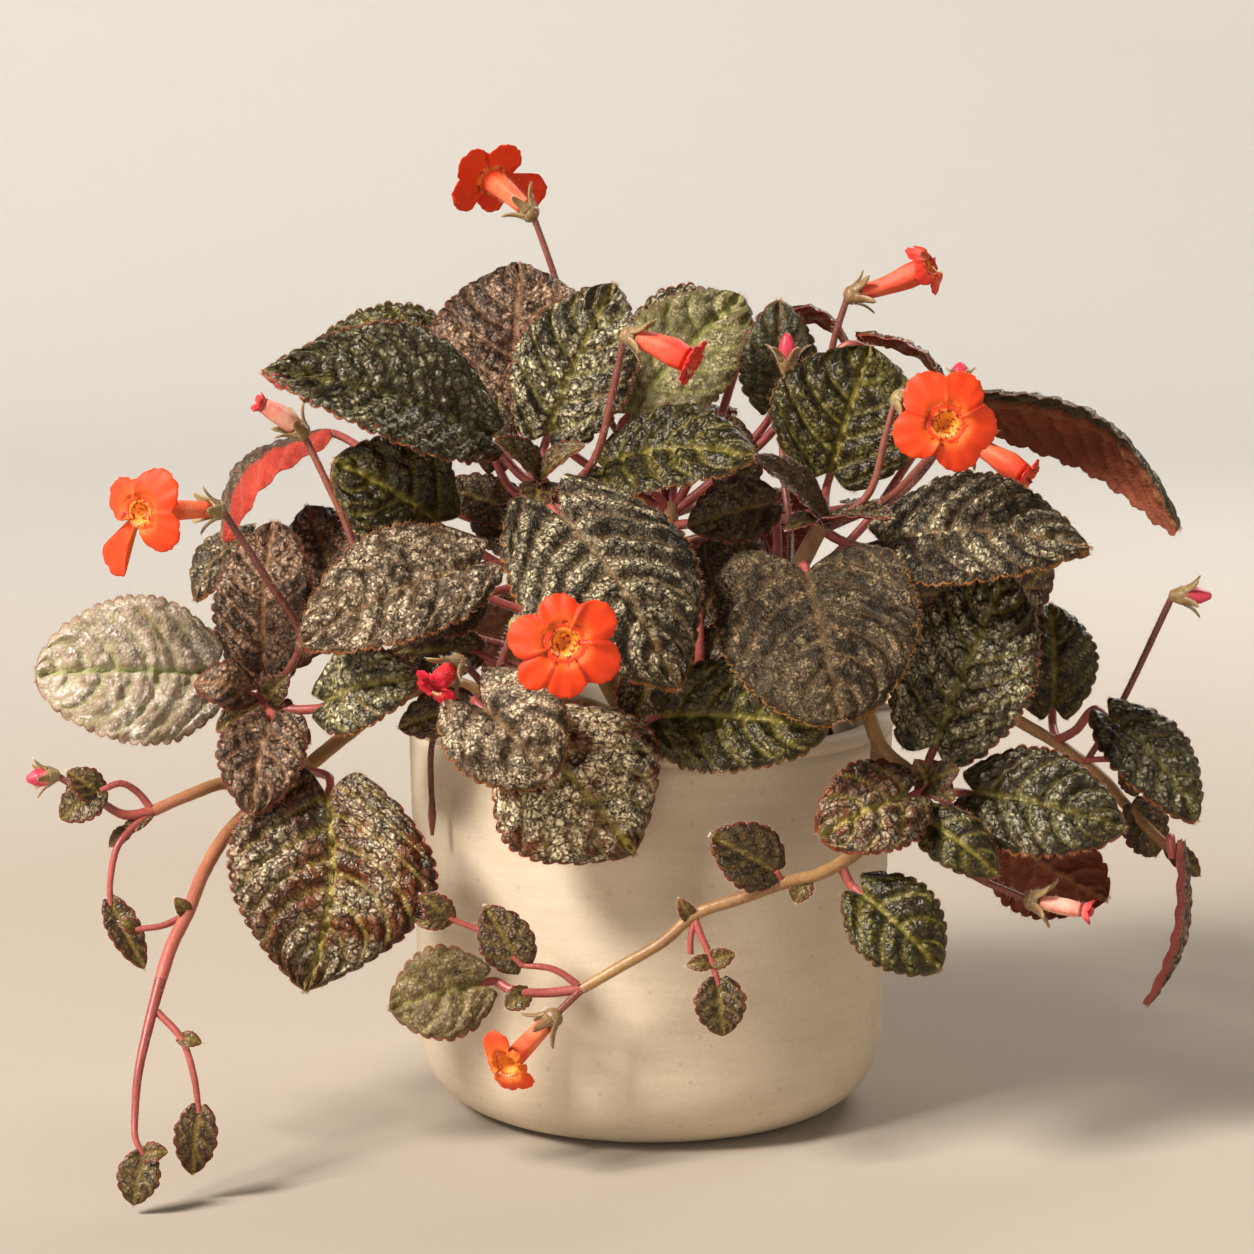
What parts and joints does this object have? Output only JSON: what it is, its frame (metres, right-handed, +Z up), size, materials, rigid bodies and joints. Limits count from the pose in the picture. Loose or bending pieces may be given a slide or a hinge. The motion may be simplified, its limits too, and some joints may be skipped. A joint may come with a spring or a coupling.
{
  "type": "potted flame violet",
  "caption": "Mounded houseplant with quilted bronze leaves, scarlet trumpet flowers and trailing runners, in soil in a plain tapered stoneware pot.",
  "frame": {"origin": "middle of the pot's flat base, on the surface it stands on", "axes": "+Z up along the pot's axis; -Y towards the viewer of the front view; +X to the viewer's right"},
  "size_m": [0.2792, 0.1906, 0.2348],
  "materials": {
    "stoneware": "matte",
    "soil": "matte",
    "stem": "satin",
    "leaf": "satin",
    "pale_leaf": "satin",
    "corolla": "satin"
  },
  "bodies": {
    "root": {"pot": "stoneware", "soil": "soil", "crown": "stem", "runner_left": "stem", "front_runner": "stem", "right_runner": "stem", "leaf_01": "leaf", "leaf_02": "leaf", "leaf_03": "leaf", "leaf_04": "leaf", "leaf_05": "pale_leaf", "leaf_06": "leaf", "leaf_07": "leaf", "leaf_08": "leaf", "leaf_09": "leaf", "leaf_10": "leaf", "leaf_11": "leaf", "leaf_12": "pale_leaf", "leaf_13": "pale_leaf", "leaf_14": "leaf", "leaf_15": "leaf", "leaf_16": "leaf", "leaf_17": "leaf", "leaf_19": "leaf", "leaf_20": "leaf", "leaf_21": "leaf", "leaf_22": "leaf", "leaf_23": "leaf", "leaf_24": "leaf", "leaf_25": "leaf", "leaf_26": "leaf", "leaf_27": "leaf", "leaf_28": "leaf", "leaf_29": "leaf", "leaf_30": "leaf", "leaf_31": "leaf", "leaf_32": "leaf", "leaf_33": "leaf", "leaf_34": "leaf", "leaf_35": "leaf", "leaf_36": "leaf", "leaf_37": "leaf", "leaf_38": "leaf", "leaf_39": "leaf", "leaf_40": "leaf", "leaf_41": "leaf", "leaf_42": "leaf", "leaf_43": "leaf", "leaf_44": "leaf", "flower_1": "corolla", "flower_2": "corolla", "flower_3": "corolla", "flower_4": "corolla", "flower_5": "corolla", "flower_6": "corolla", "flower_7": "corolla", "flower_8": "corolla", "flower_9": "corolla", "bud_1": "corolla", "bud_2": "corolla"}
  },
  "joints": []
}
